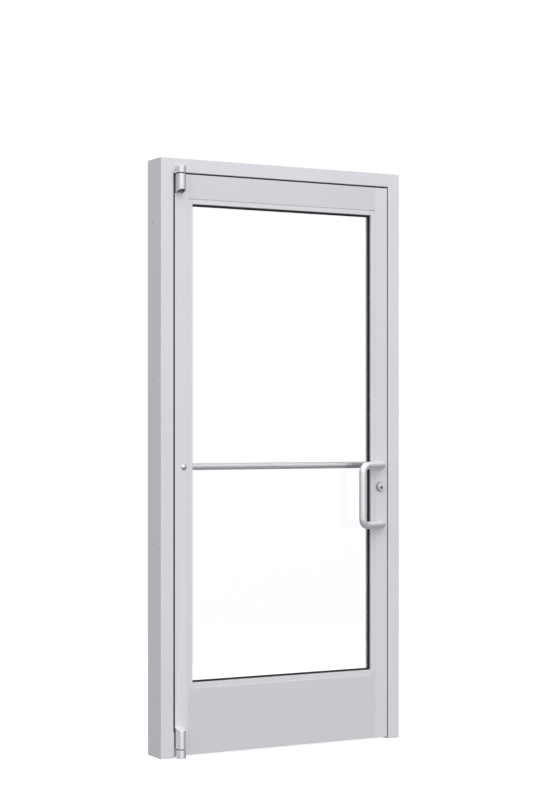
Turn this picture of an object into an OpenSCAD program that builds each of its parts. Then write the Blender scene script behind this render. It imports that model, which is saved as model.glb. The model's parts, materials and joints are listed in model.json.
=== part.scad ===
// Narrow stile glass door on offset pivots, standing closed in its aluminium frame.
// Millimetres. X runs across the doorway, Y from the pull side to the push side, Z up from the floor.
// Pieces are drawn with the frame's front face at Y = 0 and then set on the part's origin.

/* [Frame] */
// Clear width between the jambs
opening_w = 918; // [760:1:1220]
// Clear height under the head
opening_h = 2130; // [1980:1:2440]
// Face width of the jambs and the head
frame_face = 50; // [40:1:70]
// Depth of the frame through the wall
frame_depth = 114; // [100:1:160]
// Wall of the frame extrusions
frame_wall = 3.2; // [2.4:0.1:5]
// Depth of the grooves that snap-in strips foot in
snap_depth = 1.6; // [1:0.1:1.8]
// Side play of a snap-in foot in its groove
snap_clear = 0.15; // [0.05:0.05:0.3]
// Diameter of the wall anchor holes in the jambs
anchor_d = 7; // [5:0.5:10]
// Height of the lowest wall anchor
anchor_low = 200; // [120:10:400]
// Distance of the highest wall anchor below the head
anchor_high = 180; // [120:10:400]
// Spacing of the inner pair of anchors
anchor_inner = 600; // [400:10:900]

/* [Frame joints] */
// Diameter of the joint screw shank
joint_screw_d = 5; // [4:0.5:6]
// Length of joint screw inside the head
joint_screw_l = 28; // [15:1:40]
// Outside diameter of the screw bosses in the head
boss_d = 10; // [8:0.5:14]
// Distance of the screw bosses from the front and rear faces
boss_inset = 22; // [15:1:35]
// Clearance of a screw in its hole, on the radius
screw_clear = 0.3; // [0.1:0.05:0.5]

/* [Door stop and seal] */
// Distance of the door stop behind the leaf
stop_gap = 5.5; // [4.5:0.1:8]
// Projection of the door stop from the jamb
dstop_h = 16; // [12:0.5:22]
// Depth of the door stop along the jamb
dstop_d = 38; // [30:1:48]
// Wall of the door stop
dstop_wall = 2.5; // [1.5:0.1:3.5]
// Room between seal and leaf at the lock side and the head
seal_clear = 0.5; // [0.3:0.1:1.5]
// Room between seal and leaf at the hinge side, where the heel swings back
heel_clear = 2.8; // [2.6:0.1:4]
// Thickness of the seal's stem
seal_stem = 1.4; // [1:0.1:2]
// Wall of the seal's hollow bulb
seal_wall = 0.6; // [0.4:0.1:0.9]

/* [Leaf] */
// Thickness of the leaf
leaf_t = 44.5; // [40:0.5:50]
// Gap at the hinge side
gap_hinge = 6; // [3.6:0.1:7]
// Gap at the lock side
gap_lock = 4; // [2.6:0.1:6]
// Gap over the leaf
gap_top = 6.5; // [6:0.1:10]
// Gap under the leaf
gap_bottom = 8; // [8:0.5:20]
// Face width of the stiles
stile_w = 55; // [50:1:70]
// Height of the top rail
top_rail_h = 88.5; // [60:0.5:130]
// Height of the bottom rail
bottom_rail_h = 243; // [150:1:300]
// Wall of the leaf extrusions
leaf_wall = 3.2; // [2.6:0.1:4]

/* [Corner joints] */
// Thickness of the corner clips
clip_t = 6; // [4:0.5:8]
// Length of the corner clips inside the rails
clip_l = 60; // [40:1:90]
// Play of a clip in its rail
clip_clear = 0.3; // [0.1:0.05:0.5]
// Diameter of the corner bolts
corner_bolt_d = 9.6; // [8:0.1:12]
// Width of the corner bolt heads across corners
corner_head_d = 17.4; // [15:0.1:20]
// Height of the corner bolt heads and nuts
corner_head_h = 7; // [5:0.5:9]

/* [Glazing] */
// Thickness of the glass
glass_t = 6; // [5:0.5:10]
// Distance of the glass edge from the rails and stiles
glass_edge = 6; // [4:0.5:9]
// Face width of the upright front glass stops
gstop_w = 16.8; // [14:0.1:22]
// Face width of the level front glass stops
gstop_level_w = 17.8; // [14:0.1:22]
// Face width of the rear glass stops
rear_stop_w = 17.2; // [14:0.1:25]
// Setback of the glass stops from the leaf's faces
gstop_recess = 1.5; // [0.5:0.1:3]
// Sideways run of the front stop's sloped edge
gstop_slope = 1.5; // [1:0.1:6]
// Wall of the glass stops
gstop_wall = 2; // [1.5:0.1:3]
// Gap at the ends of the upright glass stops
stop_end_gap = 0.8; // [0.2:0.1:1]
// Thickness of the front gasket between stop and glass
gasket_t = 9.5; // [4:0.1:11]
// Thickness of the rear gasket between stop and glass
rear_gasket_t = 4.5; // [3:0.1:11]
// Width of gasket under the stop
gasket_hold = 6; // [4:0.5:8]
// Width of gasket that shows past the upright front stops
gasket_lip = 3; // [1:0.1:9]
// Width of gasket that shows past the level front stops
gasket_level_lip = 6.5; // [1:0.1:9]
// Width of gasket that shows past the rear stop
rear_lip = 1.6; // [1:0.1:9]
// Length of the setting blocks under the glass
block_l = 100; // [60:5:150]
// Width of the setting blocks
block_w = 10; // [8:0.5:12]

/* [Pivots] */
// Distance of the pivot axis from the heel edge
pivot_inset = 17; // [15:0.5:17.5]
// Distance of the pivot axis in front of the leaf
pivot_offset = 20; // [18:0.5:24]
// Diameter of the pivot knuckles
knuckle_d = 32; // [26:0.5:32]
// Height of the top knuckle on the frame
top_frame_h = 24; // [18:0.5:34]
// Height of the top knuckle on the leaf, at its front
top_leaf_h = 56; // [45:1:90]
// Slant of the top knuckle's underside
top_slant = 13; // [4:0.5:18]
// Wall of the top knuckle round its hollow underside
arm_wall = 3; // [2:0.1:5]
// Thickness of the top knuckle between its hollow and the pin's bore
arm_web = 5; // [3:0.5:8]
// Step of the top knuckle below the leaf's top edge
top_step = 2; // [1:0.1:3]
// Thickness of the plate under the head
top_plate_t = 4.6; // [3:0.1:5]
// Reach of the plates behind the leaf's front face
plate_reach = 40; // [35:1:42]
// Height of the bottom pivot off the floor
foot_z = 2.5; // [0:0.1:3]
// Thickness of the plate under the leaf
foot_plate_t = 4.5; // [3:0.1:4.6]
// Height of the bottom knuckle on the frame
foot_h = 30; // [24:0.5:40]
// Height of the bottom knuckle on the leaf, at its front
bottom_leaf_h = 67; // [50:1:100]
// Slant of the bottom knuckle's top
bottom_slant = 8; // [4:0.5:18]
// Thickness of the foot's leaf on the jamb
jamb_leaf_t = 3; // [2:0.1:3.2]
// Height of the foot's leaf on the jamb
jamb_leaf_h = 92; // [75:1:140]
// Thickness of the arm leaves let into the heel edge
heel_leaf_t = 2; // [1.5:0.1:2.2]
// Reach of the arm leaves along the heel edge
heel_leaf_d = 36; // [30:1:40]
// Diameter of the top pin
top_pin_d = 10; // [8:0.5:12]
// Length of the top pin in the frame knuckle
top_pin_up = 19; // [12:0.5:20]
// Length of the top pin in the leaf knuckle
top_pin_down = 36; // [20:1:42]
// Diameter of the bottom pin
foot_pin_d = 12; // [8:0.5:14]
// Depth of the bottom pin in the frame knuckle
foot_pin_down = 22; // [15:0.5:24]
// Length of the bottom pin above the frame knuckle
foot_pin_up = 44; // [25:1:50]
// Running clearance of the pins, on the radius
run_clear = 0.05; // [0.02:0.01:0.1]
// Wall of the pivot bushings
bush_wall = 3; // [2:0.1:4]
// Flange of the pivot bushings
bush_flange = 1.6; // [1:0.1:2]
// Gap between the bottom knuckles
foot_gap = 3.4; // [3.2:0.1:5]
// Thickness of the thrust washer
washer_t = 1.5; // [1:0.1:1.5]
// Thickness of the backing plates in the stile
backer_t = 6; // [4:0.5:8]
// Width of the backing plates
backer_w = 24; // [16:1:30]
// Distance of the leaf's pivot screws from the ends of the arm leaves
heel_screw_in = 14; // [10:0.5:18]
// Diameter of the pivot screw shanks
leaf_screw_d = 4.4; // [3:0.1:5]
// Diameter of the pivot screw heads
leaf_head_d = 8.4; // [6:0.1:9]

/* [Pull and push bar] */
// Diameter of the pull's rod
pull_d = 28.6; // [22:0.1:32]
// Diameter of the push bar's rod
bar_d = 25.4; // [19:0.1:32]
// Distance of the pull's roots and the bar's lock side root from the leaf's edge
pull_backset = 26; // [22:0.5:34]
// Distance of the bar's hinge side root from the leaf's edge
bar_backset = 36; // [30:0.5:38]
// Height of the pull's upper leg
pull_z = 1056; // [1030:1:1100]
// Spacing of the pull's legs
pull_cc = 228; // [200:1:305]
// Distance of the grip's axis in front of the leaf
pull_reach = 52; // [45:0.5:60]
// Distance of the grip's axis from the legs' roots, across the leaf
pull_offset = 115; // [80:1:130]
// Bend radius at the pull's roots
root_r = 18; // [16:0.5:24]
// Bend radius at the grip's ends
grip_r = 27; // [20:0.5:40]
// Height of the push bar over the pull's upper leg
bar_rise = 0; // [-60:1:60]
// Distance of the push bar's axis behind the leaf
bar_reach = 50; // [50:0.5:55]
// Bend radius of the push bar
bar_r = 45; // [30:0.5:48]
// Diameter of the through studs
stud_d = 8; // [6:0.5:10]
// Depth of the studs in the rods
stud_depth = 13; // [10:0.5:14]
// Clearance round the studs in the rods and caps, on the radius
stud_clear = 0.05; // [0.02:0.01:0.1]
// Diameter of the domed stud caps
cap_d = 22; // [16:0.5:26]
// Height of the domed stud caps
cap_h = 6; // [5:0.5:9]

/* [Lock] */
// Distance of the cylinders from the leaf's edge
backset = 32; // [30:0.5:34]
// Height of the cylinder's centre
cyl_z = 974; // [960:1:990]
// Diameter of the cylinders
cyl_d = 28.6; // [26:0.1:30]
// Depth of the cylinders into the leaf
cyl_depth = 18; // [16:0.1:18.5]
// Diameter of the cylinder heads
cyl_head_d = 30.8; // [30.6:0.1:31.6]
// Thickness of the cylinder heads
cyl_head_t = 2.2; // [1.5:0.1:3]
// Diameter of the collars at the leaf
collar_d = 38; // [34:0.5:42]
// Diameter of the collars at the cylinder head
collar_top_d = 33; // [32:0.5:36]
// Height of the collars
collar_h = 8.8; // [6:0.1:12]
// Clearance round the cylinders, on the radius
cyl_clear = 0.15; // [0.05:0.05:0.3]
// Diameter of the plugs
plug_d = 12.6; // [11:0.1:13]
// Drop of the plug below the cylinder's centre
plug_drop = 4; // [3:0.1:6]
// Width of the key slot
key_w = 2.4; // [1.5:0.1:3]
// Height of the key slot
key_h = 9; // [7:0.5:10]
// Depth of the key slot
key_depth = 22; // [15:0.5:24]
// Thickness of the plug cams
cam_t = 2.5; // [1.5:0.1:2.5]
// Reach of the plug cams
cam_reach = 13; // [9:0.5:13]
// Height of the thumb piece
thumb_h = 28; // [20:0.5:32]
// Width of the thumb piece
thumb_w = 7; // [5:0.5:10]
// Reach of the thumb piece
thumb_reach = 14; // [10:0.5:20]
// Width of the lock case
case_w = 46; // [44:0.5:47]
// Thickness of the lock case
case_t = 24; // [23:0.5:28]
// Wall of the lock case
case_wall = 2.5; // [1.5:0.1:3]
// Height of the lock case above the cylinder's centre
case_up = 28; // [22:0.5:29]
// Depth of the lock case below the cylinder's centre
case_down = 90; // [84:0.5:91]
// Length of the faceplate above the cylinder's centre
face_up = 44; // [42:0.5:60]
// Length of the faceplate below the cylinder's centre
face_down = 106; // [104:0.5:120]
// Width of the faceplate
face_w = 28; // [26:0.5:32]
// Play of the faceplate in the stile's edge
face_clear = 0.2; // [0.1:0.05:0.4]
// Distance of the faceplate's screws from its ends
face_screw_in = 8; // [7:0.5:10]
// Height of the fixing tabs behind the faceplate
tab_h = 28; // [24:0.5:30]
// Thickness of the fixing tabs
tab_t = 4; // [3:0.5:6]
// Drop of the bolt's pivot below the cylinder's centre
bolt_drop = 68; // [66:0.5:72]
// Length of the bolt from its pivot
bolt_l = 46; // [40:0.5:46]
// Width of the bolt
bolt_w = 20; // [16:0.5:20]
// Thickness of the bolt
bolt_t = 12; // [8:0.5:14]
// Distance of the bolt's pivot behind the faceplate
bolt_in = 11.3; // [11:0.1:13]
// Diameter of the bolt's pivot
bolt_pin_d = 8; // [6:0.5:9]
// Room round the bolt in the faceplate
bolt_room = 2; // [1:0.1:3]
// Room round the bolt in the strike
strike_room = 4; // [2:0.1:5]
// Thickness of the strike plate
strike_t = 2; // [1.5:0.1:2.2]
// Width of the strike plate
strike_w = 33; // [28:0.5:36]
// Length of strike plate past the bolt's slot at each end
strike_end = 22; // [16:0.5:30]

/* [Hidden] */
$fn = 72;
cut = 1;
// Jambs and leaf edges
xl = -opening_w/2;
xr = opening_w/2;
frame_top = opening_h + frame_face;
leaf_l = xl + gap_hinge;
leaf_r = xr - gap_lock;
leaf_b = gap_bottom;
leaf_top = opening_h - gap_top;
leaf_h = leaf_top - leaf_b;
stile_l = leaf_l + stile_w;
stile_r = leaf_r - stile_w;
rail_b = leaf_b + bottom_rail_h;
rail_t = leaf_top - top_rail_h;
// Origin midway between the front of the grip and the rear of the frame
front_most = pull_reach + pull_d/2;
rear_most = max(frame_depth, leaf_t + bar_reach + bar_d/2);
y0 = -(rear_most - front_most)/2;
// Door stop and glazing lines
dstop_y = leaf_t + stop_gap;
glass_y = (leaf_t - glass_t)/2;
gstop_y = glass_y - gasket_t;
rear_y = glass_y - rear_gasket_t;
sight = gstop_w + gstop_slope;
level_sight = gstop_level_w + gstop_slope;
glass_x0 = stile_l + glass_edge;
glass_x1 = stile_r - glass_edge;
glass_z0 = rail_b + glass_edge;
glass_z1 = rail_t - glass_edge;
// Pivot axis and knuckle levels
px = leaf_l + pivot_inset;
py = -pivot_offset;
kr = knuckle_d/2;
heel_end = px + pivot_inset + 2*cut;
top_seat = leaf_top - top_step;
top_under = opening_h - top_plate_t;
foot_top = foot_z + foot_h;
foot_seat = foot_top + foot_gap;
foot_pin_z = foot_top - foot_pin_down;
screw_len = backer_t + leaf_wall;
heel_y = heel_leaf_d/2;
// Pull path in plan: a bend at the root, then a straight run to the grip
function lean(a, n) = n == 0 ? a : lean(atan((pull_reach - root_r*cos(a))
    / (pull_offset - root_r*(1 - sin(a)))), n - 1);
pull_a = lean(20, 12);
pull_run = round(1000*(pull_offset - root_r*(1 - sin(pull_a)))/cos(pull_a))/1000;
hx_r = leaf_r - backset;
pull_x = leaf_r - pull_backset;
bar_x = leaf_l + bar_backset;
grip_x = pull_x - pull_offset;
bar_z = pull_z + bar_rise;
// Lock lines
edge_in = leaf_r - leaf_wall;
plug_z = cyl_z - plug_drop;
bolt_x = edge_in - bolt_in;
bolt_z = cyl_z - bolt_drop;
mid_y = leaf_t/2;
face_slot_lo = bolt_z - bolt_w/2 - bolt_room;
face_slot_hi = bolt_z + bolt_l + bolt_room;
strike_lo = bolt_z - bolt_w/2 - strike_room;
strike_hi = bolt_z + bolt_l + strike_room;
plate_lo = strike_lo - strike_end;
plate_hi = strike_hi + strike_end;
bolt_slot_w = bolt_t + 2*bolt_room;
strike_slot_w = bolt_t + 2*bolt_room;
anchor_mid = (anchor_low + opening_h - anchor_high)/2;
anchors = [anchor_low, anchor_mid - anchor_inner/2, anchor_mid + anchor_inner/2, opening_h - anchor_high];
anchor_y = dstop_y + dstop_d/2;

// Shared helpers
module set_in() { translate([0, y0, 0]) children(); }
module along_x(x0, x1) { translate([x0, 0, 0]) rotate([90, 0, 90]) linear_extrude(x1 - x0) children(); }
module along_z(z0, z1) { translate([0, 0, z0]) linear_extrude(z1 - z0) children(); }
module along_y(y1, y2) { translate([0, y2, 0]) rotate([90, 0, 0]) linear_extrude(y2 - y1) children(); }
module rod_y(x, z, y1, y2, r) { translate([x, y1, z]) rotate([-90, 0, 0]) cylinder(h = y2 - y1, r = r); }
module rod_x(y, z, x1, x2, r) { translate([x1, y, z]) rotate([0, 90, 0]) cylinder(h = x2 - x1, r = r); }
module rod_z(x, y, z1, z2, r) { translate([x, y, z1]) cylinder(h = z2 - z1, r = r); }
module span(a, b) { translate(a) cube(b - a); }
module flip_leaf() { translate([0, leaf_t, 0]) mirror([0, 1, 0]) children(); }
// A countersunk screw whose flush head faces -X, its tip towards +X
module sunk_screw(x, y, z, d, head, l) {
    translate([x, y, z]) rotate([0, 90, 0]) union() {
        cylinder(h = (head - d)/2, r1 = head/2, r2 = d/2);
        cylinder(h = l, r = d/2);
    }
}
// The room that such a screw needs
module sunk_hole(x, y, z, d, head, l) {
    translate([x, y, z]) rotate([0, 90, 0]) union() {
        translate([0, 0, -cut]) cylinder(h = cut, r = head/2 + screw_clear);
        cylinder(h = (head - d)/2, r1 = head/2 + screw_clear, r2 = d/2 + screw_clear);
        cylinder(h = l, r = d/2 + screw_clear);
    }
}

// Frame profiles: u runs outwards from the doorway face, v is the depth
module foot_grooves() {
    for (v = [dstop_y, dstop_y + dstop_d - dstop_wall])
        translate([-cut, v - snap_clear]) square([snap_depth + cut, dstop_wall + 2*snap_clear]);
}
module jamb_profile() {
    difference() {
        square([frame_face, frame_depth]);
        translate([frame_wall, frame_wall])
            square([frame_face - 2*frame_wall, frame_depth - 2*frame_wall]);
        foot_grooves();
    }
}
module boss_places() {
    for (v = [boss_inset, frame_depth - boss_inset])
        for (w = [frame_wall + boss_d/2 - 1, frame_face - frame_wall - boss_d/2 + 1])
            translate([v, w]) children();
}
module head_profile() {
    difference() {
        union() {
            difference() {
                square([frame_depth, frame_face]);
                translate([frame_wall, frame_wall])
                    square([frame_depth - 2*frame_wall, frame_face - 2*frame_wall]);
            }
            boss_places() circle(d = boss_d);
        }
        boss_places() circle(d = joint_screw_d + 2*screw_clear);
        mirror([1, -1]) foot_grooves();
    }
}
module joint_screw_holes() {
    translate([0, 0, opening_h]) boss_places_x()
        translate([0, 0, -cut]) cylinder(h = frame_wall + 2*cut, d = joint_screw_d + 2*screw_clear);
}
// The boss places as seen from a jamb's doorway face, with +Z pointing outwards
module boss_places_x() {
    for (v = [boss_inset, frame_depth - boss_inset])
        for (w = [frame_wall + boss_d/2 - 1, frame_face - frame_wall - boss_d/2 + 1])
            translate([0, v, w]) rotate([0, 90, 0]) children();
}
// A jamb with its doorway face on X = 0 and its body towards +X
module jamb_body() {
    difference() {
        linear_extrude(frame_top) jamb_profile();
        joint_screw_holes();
        for (z = anchors) rod_x(anchor_y, z, -cut, frame_face + cut, anchor_d/2);
    }
}
module hinge_jamb() color("silver") set_in() {
    difference() {
        translate([xl, 0, 0]) mirror([1, 0, 0]) jamb_body();
        foot_screw_places() mirror([1, 0, 0])
            sunk_hole(0, 0, 0, leaf_screw_d, leaf_head_d, jamb_leaf_t + frame_wall + cut);
    }
}
module strike_jamb() color("silver") set_in() {
    difference() {
        translate([xr, 0, 0]) jamb_body();
        span([xr - cut, mid_y - strike_w/2 - face_clear, plate_lo - face_clear],
            [xr + strike_t, mid_y + strike_w/2 + face_clear, plate_hi + face_clear]);
        span([xr - cut, mid_y - strike_slot_w/2, strike_lo],
            [xr + frame_wall + cut, mid_y + strike_slot_w/2, strike_hi]);
        strike_screw_places() sunk_hole(0, 0, 0, leaf_screw_d, leaf_head_d, 2*frame_wall);
    }
}
module frame_head() color("silver") set_in() {
    difference() {
        along_x(xl, xr) translate([0, opening_h]) head_profile();
        top_screw_places() rotate([0, -90, 0])
            sunk_hole(0, 0, 0, leaf_screw_d, leaf_head_d, top_plate_t + frame_wall + cut);
    }
}
module joint_screw() {
    union() {
        translate([0, 0, -joint_screw_l]) cylinder(h = joint_screw_l + frame_wall + 1, d = joint_screw_d);
        translate([0, 0, frame_wall]) cylinder(h = 3, d1 = 2*joint_screw_d, d2 = joint_screw_d);
    }
}
module head_joint_screws() color("gray") set_in() {
    translate([xr, 0, opening_h]) boss_places_x() joint_screw();
    translate([xl, 0, opening_h]) mirror([1, 0, 0]) boss_places_x() joint_screw();
}

// Door stops: u is the projection from the jamb, v the depth
module dstop_profile() {
    t_w = 4*seal_stem + 2*snap_clear;
    t_d = seal_stem + snap_clear;
    difference() {
        union() {
            difference() {
                translate([-snap_depth, dstop_y]) square([dstop_h + snap_depth, dstop_d]);
                translate([-snap_depth - cut, dstop_y + dstop_wall])
                    square([dstop_h + snap_depth + cut - dstop_wall, dstop_d - 2*dstop_wall]);
            }
            translate([dstop_h/2 - t_w/2 - seal_stem, dstop_y])
                square([t_w + 2*seal_stem, dstop_wall + t_d + seal_stem]);
        }
        translate([dstop_h/2 - seal_stem/2 - snap_clear, dstop_y - cut])
            square([seal_stem + 2*snap_clear, dstop_wall + 2*cut]);
        translate([dstop_h/2 - t_w/2, dstop_y + dstop_wall]) square([t_w, t_d]);
    }
}
module seal_profile(clear) {
    r = (stop_gap - clear - snap_clear)/2;
    c = dstop_y - snap_clear - r;
    union() {
        difference() {
            translate([dstop_h/2, c]) circle(r = r);
            translate([dstop_h/2, c]) circle(r = r - seal_wall);
        }
        translate([dstop_h/2 - seal_stem/2, dstop_y - snap_clear - seal_wall])
            square([seal_stem, seal_wall + snap_clear + dstop_wall + seal_stem/2]);
        translate([dstop_h/2 - 2*seal_stem, dstop_y + dstop_wall]) square([4*seal_stem, seal_stem]);
    }
}
module hinge_door_stop() color("silver") set_in() along_z(0, opening_h) translate([xl, 0]) dstop_profile();
module strike_door_stop() color("silver") set_in() along_z(0, opening_h)
    translate([xr, 0]) mirror([1, 0]) dstop_profile();
module across_head(x0, x1) {
    along_x(x0, x1) translate([0, opening_h]) mirror([0, 1]) mirror([1, -1]) children();
}
module head_door_stop() color("silver") set_in() across_head(xl + dstop_h, xr - dstop_h) dstop_profile();
module hinge_seal() color("black") set_in() along_z(0, opening_h) translate([xl, 0]) seal_profile(heel_clear);
module strike_seal() color("black") set_in() along_z(0, opening_h)
    translate([xr, 0]) mirror([1, 0]) seal_profile(seal_clear);
// The head seal is two lengths: a low one over the heel's swing and a full one beyond it
module head_seal() color("black") set_in() {
    across_head(xl + dstop_h, heel_end - snap_clear) seal_profile(heel_clear);
    across_head(heel_end, xr - dstop_h) seal_profile(seal_clear);
}

// Pivot halves on the frame
module top_screw_places() {
    for (y = [plate_reach*0.35, plate_reach*0.78]) translate([px, y, top_under]) children();
}
module foot_screw_places() {
    for (z = [foot_z + jamb_leaf_h*0.45, foot_z + jamb_leaf_h*0.85])
        translate([xl + jamb_leaf_t, plate_reach/2, z]) children();
}
module top_pivot_plate() color("lightgray") set_in() {
    difference() {
        union() {
            rod_z(px, py, top_under, top_under + top_frame_h, kr);
            span([px - kr, py, top_under], [px + kr, 0, top_under + top_frame_h]);
            span([xl, -cut, top_under], [px + kr, plate_reach, opening_h]);
        }
        rod_z(px, py, top_under - cut, top_under + top_pin_up, top_pin_d/2 + run_clear);
        top_screw_places() rotate([0, -90, 0])
            sunk_hole(0, 0, 0, leaf_screw_d, leaf_head_d, top_plate_t + cut);
    }
}
module top_pivot_pin() color("gray") set_in()
    rod_z(px, py, top_seat - top_pin_down, top_under + top_pin_up, top_pin_d/2);
// The neck keeps to the jamb's side of the pivot, clear of the leaf's swing
module bottom_pivot_foot() color("lightgray") set_in() {
    difference() {
        union() {
            rod_z(px, py, foot_z, foot_top, kr);
            span([px - kr, py, foot_z], [px, 0, foot_top]);
            span([px - kr, py, foot_z], [px + kr, 0, foot_z + foot_plate_t]);
            span([xl, -cut, foot_z], [px + kr, plate_reach, foot_z + foot_plate_t]);
            span([xl, -cut, foot_z], [xl + jamb_leaf_t, plate_reach, foot_z + jamb_leaf_h]);
        }
        rod_z(px, py, foot_pin_z, foot_top + cut, foot_pin_d/2 + run_clear);
        span([xl + jamb_leaf_t, -snap_clear*2, foot_z + foot_plate_t],
            [px + cut, plate_reach, foot_top + cut]);
        foot_screw_places() mirror([1, 0, 0])
            sunk_hole(0, 0, 0, leaf_screw_d, leaf_head_d, jamb_leaf_t + cut);
    }
}
module bottom_pivot_pin() color("gray") set_in()
    rod_z(px, py, foot_pin_z, foot_top + foot_pin_up, foot_pin_d/2);
module thrust_washer() color("dimgray") set_in() difference() {
    rod_z(px, py, foot_top, foot_top + washer_t, kr*0.8);
    rod_z(px, py, foot_top - cut, foot_top + washer_t + cut, foot_pin_d/2 + screw_clear);
}
module frame_pivot_screws() color("gray") set_in() {
    top_screw_places() rotate([0, -90, 0])
        sunk_screw(0, 0, 0, leaf_screw_d, leaf_head_d, top_plate_t + frame_wall);
    foot_screw_places() mirror([1, 0, 0])
        sunk_screw(0, 0, 0, leaf_screw_d, leaf_head_d, jamb_leaf_t + frame_wall);
}
module strike_screw_places() {
    for (z = [plate_lo + strike_end/2, plate_hi - strike_end/2]) translate([xr, mid_y, z]) children();
}
module strike_plate() color("lightgray") set_in() difference() {
    span([xr, mid_y - strike_w/2, plate_lo], [xr + strike_t, mid_y + strike_w/2, plate_hi]);
    span([xr - cut, mid_y - strike_slot_w/2, strike_lo],
        [xr + strike_t + cut, mid_y + strike_slot_w/2, strike_hi]);
    strike_screw_places() sunk_hole(0, 0, 0, leaf_screw_d, leaf_head_d, strike_t + cut);
}
module strike_screws() color("gray") set_in()
    strike_screw_places() sunk_screw(0, 0, 0, leaf_screw_d, leaf_head_d, 2*frame_wall);

// Leaf profiles: u runs from the glass edge into the bar, v is the depth
module gstop_grooves() {
    for (v = [gstop_y - gstop_wall, leaf_t - rear_y])
        translate([-cut, v - snap_clear]) square([snap_depth + cut, gstop_wall + 2*snap_clear]);
}
module bar_profile(w, webs) {
    difference() {
        square([w, leaf_t]);
        for (i = [0:webs]) {
            bay = (w - leaf_wall)/(webs + 1);
            translate([leaf_wall + i*bay, leaf_wall]) square([bay - leaf_wall, leaf_t - 2*leaf_wall]);
        }
        gstop_grooves();
    }
}
// Corner bolt centres: one bay in the top rail, two in the bottom rail
function bay_h(h, webs) = (h - leaf_wall)/(webs + 1) - leaf_wall;
function bay_z0(base, h, webs, i) = base + leaf_wall + i*(bay_h(h, webs) + leaf_wall);
clip_bays = [[bay_z0(rail_t, top_rail_h, 0, 0), bay_h(top_rail_h, 0)],
    [bay_z0(leaf_b, bottom_rail_h, 1, 0), bay_h(bottom_rail_h, 1)],
    [bay_z0(leaf_b, bottom_rail_h, 1, 1), bay_h(bottom_rail_h, 1)]];
module corner_places() {
    for (b = clip_bays) {
        translate([stile_l, mid_y, b[0] + b[1]/2]) children();
        translate([stile_r, mid_y, b[0] + b[1]/2]) mirror([1, 0, 0]) children();
    }
}
module corner_holes() corner_places() rotate([0, 90, 0])
    translate([0, 0, -leaf_wall - cut]) cylinder(h = leaf_wall + 2*cut, d = corner_bolt_d + 2*screw_clear);

module hinge_stile() color("silver") set_in() difference() {
    along_z(leaf_b, leaf_top) translate([stile_l, 0]) mirror([1, 0]) bar_profile(stile_w, 0);
    corner_holes();
    heel_recess(top_arm_lo(), top_seat);
    heel_recess(foot_seat, bottom_arm_hi());
    heel_screw_places() sunk_hole(0, 0, 0, leaf_screw_d, leaf_head_d, heel_leaf_t + screw_len);
    rod_y(bar_x, bar_z, -cut, leaf_t + cut, stud_d/2 + screw_clear);
}
module lock_stile() color("silver") set_in() difference() {
    along_z(leaf_b, leaf_top) translate([stile_r, 0]) bar_profile(stile_w, 0);
    corner_holes();
    span([edge_in - cut, mid_y - face_w/2 - face_clear, cyl_z - face_down - face_clear],
        [leaf_r + cut, mid_y + face_w/2 + face_clear, cyl_z + face_up + face_clear]);
    rod_y(hx_r, cyl_z, -cut, leaf_t + cut, cyl_d/2 + cyl_clear);
    for (z = [pull_z, pull_z - pull_cc]) rod_y(pull_x, z, -cut, leaf_t + cut, stud_d/2 + screw_clear);
    if (bar_z != pull_z) rod_y(pull_x, bar_z, mid_y, leaf_t + cut, stud_d/2 + screw_clear);
}
module top_rail() color("silver") set_in()
    along_x(stile_l, stile_r) translate([0, rail_t]) mirror([1, -1]) bar_profile(top_rail_h, 0);
module bottom_rail() color("silver") set_in()
    along_x(stile_l, stile_r) translate([0, rail_b]) mirror([0, 1]) mirror([1, -1])
        bar_profile(bottom_rail_h, 1);
module corner_clip(h) {
    d = leaf_t - 2*leaf_wall - 2*clip_clear;
    z = h/2 - clip_clear;
    difference() {
        span([0, -d/2, -z], [clip_l, d/2, z]);
        span([clip_t, -d/2 - cut, -z + clip_t], [clip_l + cut, d/2 + cut, z - clip_t]);
        rod_x(0, 0, -cut, clip_t + cut, corner_bolt_d/2 + screw_clear);
    }
}
module corner_clips() color("darkgray") set_in() for (b = clip_bays) {
    translate([stile_l, mid_y, b[0] + b[1]/2]) corner_clip(b[1]);
    translate([stile_r, mid_y, b[0] + b[1]/2]) mirror([1, 0, 0]) corner_clip(b[1]);
}
module corner_bolts() color("gray") set_in() corner_places() rotate([0, 90, 0]) union() {
    translate([0, 0, -leaf_wall - corner_head_h]) cylinder(h = corner_head_h, d = corner_head_d, $fn = 6);
    translate([0, 0, -leaf_wall - cut])
        cylinder(h = leaf_wall + clip_t + corner_head_h + 4*cut, d = corner_bolt_d);
    translate([0, 0, clip_t]) cylinder(h = corner_head_h, d = corner_head_d, $fn = 6);
}

// Glass, its blocks and gaskets
module glass_pane() color("lightblue") set_in()
    span([glass_x0, glass_y, glass_z0], [glass_x1, glass_y + glass_t, glass_z1]);
module setting_blocks() color("black") set_in() for (q = [0.25, 0.75]) {
    x = glass_x0 + q*(glass_x1 - glass_x0);
    span([x - block_l/2, mid_y - block_w/2, rail_b], [x + block_l/2, mid_y + block_w/2, glass_z0]);
}
module gasket_ring(edge, lip, level_edge, level_lip, y) {
    along_y(y, glass_y) difference() {
        gasket_window(edge - gasket_hold, level_edge - gasket_hold);
        gasket_window(edge + lip, level_edge + level_lip);
    }
}
// The glass opening less a margin at its sides and a margin at its top and bottom
module gasket_window(u, w) translate([stile_l + u, rail_b + w])
    square([stile_r - stile_l - 2*u, rail_t - rail_b - 2*w]);
module front_gasket() color("black") set_in()
    gasket_ring(sight, gasket_lip, level_sight, gasket_level_lip, gstop_y);
module rear_gasket() color("black") set_in() flip_leaf()
    gasket_ring(rear_stop_w, rear_lip, rear_stop_w, rear_lip, rear_y);
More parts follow.
